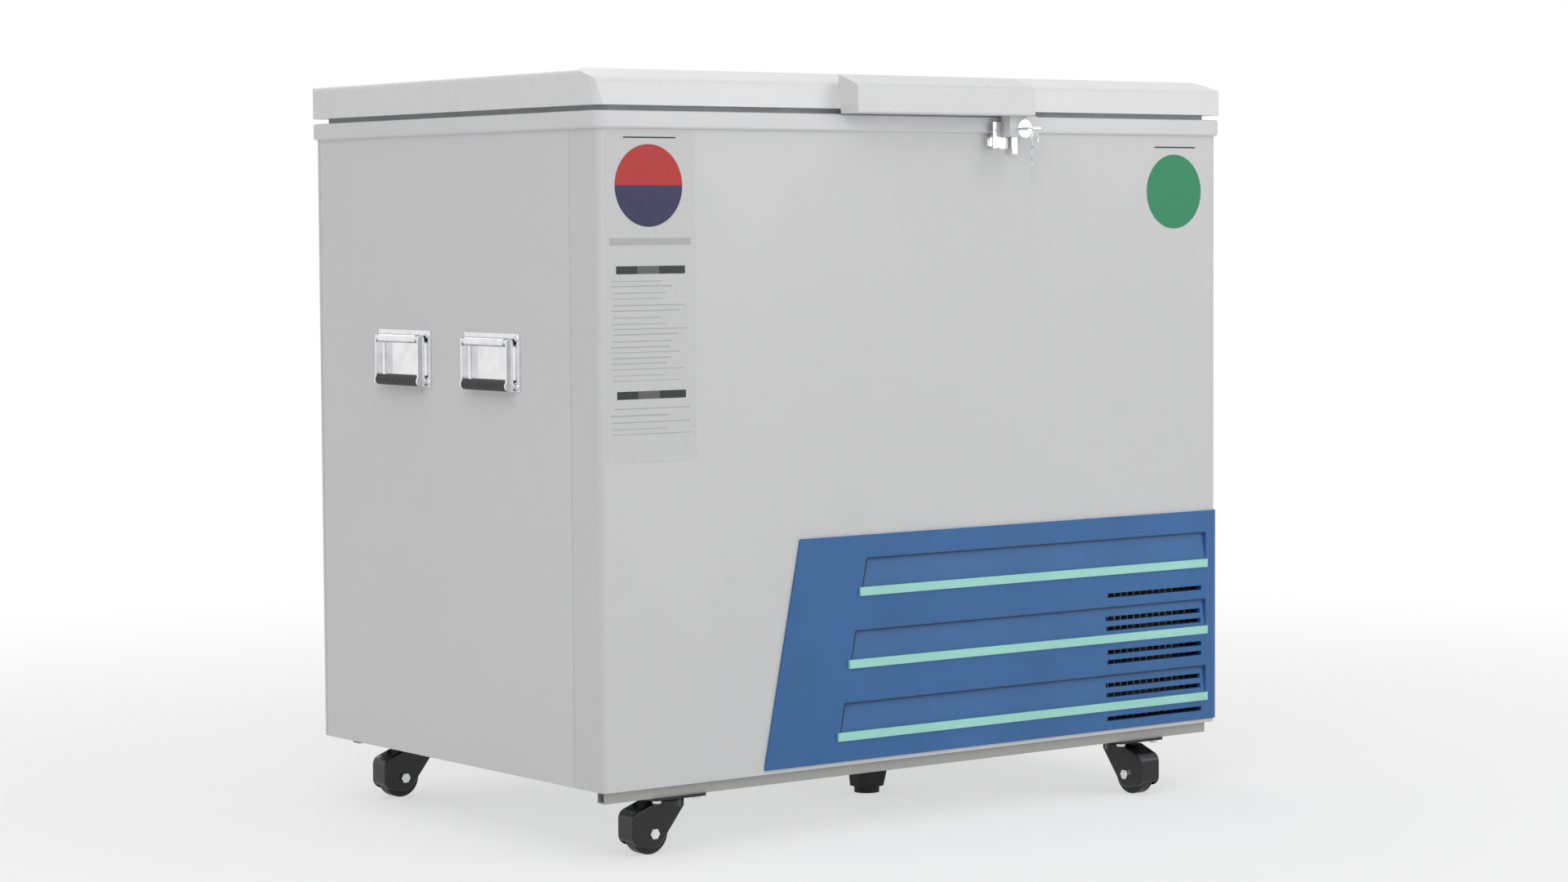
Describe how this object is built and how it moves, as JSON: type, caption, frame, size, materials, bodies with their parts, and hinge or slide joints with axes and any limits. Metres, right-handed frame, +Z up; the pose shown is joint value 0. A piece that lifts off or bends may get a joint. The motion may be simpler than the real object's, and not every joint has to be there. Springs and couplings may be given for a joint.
{
  "type": "chest medical refrigerator",
  "caption": "Top-opening ice-lined chest refrigerator on castors with a hinged lid, lock, side lifting handles and a coloured corner air grille.",
  "frame": {"origin": "on the floor under the centre of the envelope", "axes": "+X along the front to the right, +Y from the front to the back, +Z up"},
  "size_m": [0.9806, 0.703, 0.899],
  "materials": {
    "sheet_light_grey": "smooth light grey coated steel",
    "sheet_white": "smooth white coated steel",
    "collar_white": "satin white moulded plastic",
    "lid_white": "satin white coated steel",
    "liner_aluminium": "stucco-embossed aluminium sheet",
    "foam": "rigid cellular foam",
    "ice_pack_blue": "translucent blown plastic",
    "copper": "bare copper tube",
    "galvanised": "galvanised sheet steel",
    "black_enamel": "black enamel",
    "black_rubber": "black rubber",
    "fin_aluminium": "bare aluminium fin",
    "black_plastic": "fine-grained black plastic",
    "grey_plastic": "satin grey plastic",
    "basket_white": "white powder coat",
    "grille_blue": "satin blue moulded plastic",
    "accent_mint": "satin mint moulded plastic",
    "rail_grey": "warm grey coated steel",
    "castor_black": "smooth black nylon",
    "castor_tread": "smooth black tread",
    "zinc_steel": "bright zinc plated steel",
    "bare_chrome": "polished chrome",
    "handle_white": "satin white moulded plastic",
    "gasket_grey": "soft pale grey magnetic seal",
    "plug_white": "satin white formed plastic",
    "grip_grey": "dark grey ribbed grip"
  },
  "bodies": {
    "cabinet": {"front_panel": "sheet_light_grey", "rear_panel": "sheet_light_grey", "left_side_panel": "sheet_white", "right_side_panel": "sheet_white", "base_tray": "galvanised", "machine_bay_sheet": "galvanised", "insulation_foam": "foam", "inner_liner": "liner_aluminium", "ice_lining_packs": "ice_pack_blue", "evaporator_coil": "copper", "collar_frame": "collar_white", "storage_basket": "basket_white", "front_grille": "grille_blue", "accent_strips": "accent_mint", "rear_vent_cover": "galvanised", "power_inlet": "black_plastic", "compressor": "black_enamel", "compressor_mounts": "black_rubber", "condenser": "fin_aluminium", "fan_shroud": "black_plastic", "control_box": "grey_plastic", "base_rails": "rail_grey", "castor_plates": "zinc_steel", "castor_bolts": "zinc_steel", "support_foot": "black_rubber", "handle_plates": "bare_chrome", "cabinet_fixings": "zinc_steel", "hinge_bases": "zinc_steel", "lock_keeper": "bare_chrome"},
    "lid": {"lid_shell": "lid_white", "lid_inner_panel": "plug_white", "lid_foam": "foam", "lid_gasket": "gasket_grey", "lid_handle": "handle_white", "hinge_arms": "zinc_steel", "hinge_fixings": "zinc_steel", "lock_housing": "handle_white"},
    "lock": {"lock_barrel": "bare_chrome", "lock_key": "zinc_steel"},
    "fan": {"fan_rotor": "grey_plastic"},
    "fork_front_left": {"castor_fork_front_left": "castor_black", "castor_axle_front_left": "zinc_steel"},
    "wheel_front_left": {"castor_wheel_front_left": "castor_tread"},
    "fork_front_right": {"castor_fork_front_right": "castor_black", "castor_axle_front_right": "zinc_steel"},
    "wheel_front_right": {"castor_wheel_front_right": "castor_tread"},
    "fork_rear_left": {"castor_fork_rear_left": "castor_black", "castor_axle_rear_left": "zinc_steel"},
    "wheel_rear_left": {"castor_wheel_rear_left": "castor_tread"},
    "fork_rear_right": {"castor_fork_rear_right": "castor_black", "castor_axle_rear_right": "zinc_steel"},
    "wheel_rear_right": {"castor_wheel_rear_right": "castor_tread"},
    "handle_left_front": {"bail_left_front": "bare_chrome", "grip_left_front": "grip_grey"},
    "handle_left_rear": {"bail_left_rear": "bare_chrome", "grip_left_rear": "grip_grey"},
    "handle_right_front": {"bail_right_front": "bare_chrome", "grip_right_front": "grip_grey"},
    "handle_right_rear": {"bail_right_rear": "bare_chrome", "grip_right_rear": "grip_grey"}
  },
  "joints": [
    {"name": "lid_hinge", "type": "hinge", "parent": "cabinet", "child": "lid", "pos_m": [0, 0.3425, 0.846], "axis": [-1, 0, 0], "range_deg": [0, 85]},
    {"name": "lock_turn", "type": "hinge", "parent": "lid", "child": "lock", "pos_m": [0.13, -0.3215, 0.835], "axis": [0, 1, 0], "range_deg": [0, 90]},
    {"name": "fan_spin", "type": "hinge", "parent": "cabinet", "child": "fan", "pos_m": [0.3595, -0.2215, 0.1965], "axis": [0, 1, 0], "continuous": true},
    {"name": "swivel_front_left", "type": "hinge", "parent": "cabinet", "child": "fork_front_left", "pos_m": [-0.366, -0.2615, 0.06], "axis": [0, 0, 1], "continuous": true},
    {"name": "roll_front_left", "type": "hinge", "parent": "fork_front_left", "child": "wheel_front_left", "pos_m": [-0.39, -0.2615, 0.025], "axis": [0, 1, 0], "continuous": true},
    {"name": "swivel_front_right", "type": "hinge", "parent": "cabinet", "child": "fork_front_right", "pos_m": [0.349, -0.2615, 0.06], "axis": [0, 0, 1], "continuous": true},
    {"name": "roll_front_right", "type": "hinge", "parent": "fork_front_right", "child": "wheel_front_right", "pos_m": [0.349, -0.2855, 0.025], "axis": [1, 0, 0], "continuous": true},
    {"name": "swivel_rear_left", "type": "hinge", "parent": "cabinet", "child": "fork_rear_left", "pos_m": [-0.366, 0.2865, 0.06], "axis": [0, 0, 1], "continuous": true},
    {"name": "roll_rear_left", "type": "hinge", "parent": "fork_rear_left", "child": "wheel_rear_left", "pos_m": [-0.39, 0.2865, 0.025], "axis": [0, 1, 0], "continuous": true},
    {"name": "swivel_rear_right", "type": "hinge", "parent": "cabinet", "child": "fork_rear_right", "pos_m": [0.349, 0.2865, 0.06], "axis": [0, 0, 1], "continuous": true},
    {"name": "roll_rear_right", "type": "hinge", "parent": "fork_rear_right", "child": "wheel_rear_right", "pos_m": [0.349, 0.3105, 0.025], "axis": [1, 0, 0], "continuous": true},
    {"name": "bail_hinge_left_front", "type": "hinge", "parent": "cabinet", "child": "handle_left_front", "pos_m": [-0.484, -0.0805, 0.587], "axis": [0, 1, 0], "range_deg": [0, 90]},
    {"name": "bail_hinge_left_rear", "type": "hinge", "parent": "cabinet", "child": "handle_left_rear", "pos_m": [-0.484, 0.1145, 0.587], "axis": [0, 1, 0], "range_deg": [0, 90]},
    {"name": "bail_hinge_right_front", "type": "hinge", "parent": "cabinet", "child": "handle_right_front", "pos_m": [0.484, -0.0805, 0.587], "axis": [0, -1, 0], "range_deg": [0, 90]},
    {"name": "bail_hinge_right_rear", "type": "hinge", "parent": "cabinet", "child": "handle_right_rear", "pos_m": [0.484, 0.1145, 0.587], "axis": [0, -1, 0], "range_deg": [0, 90]}
  ]
}
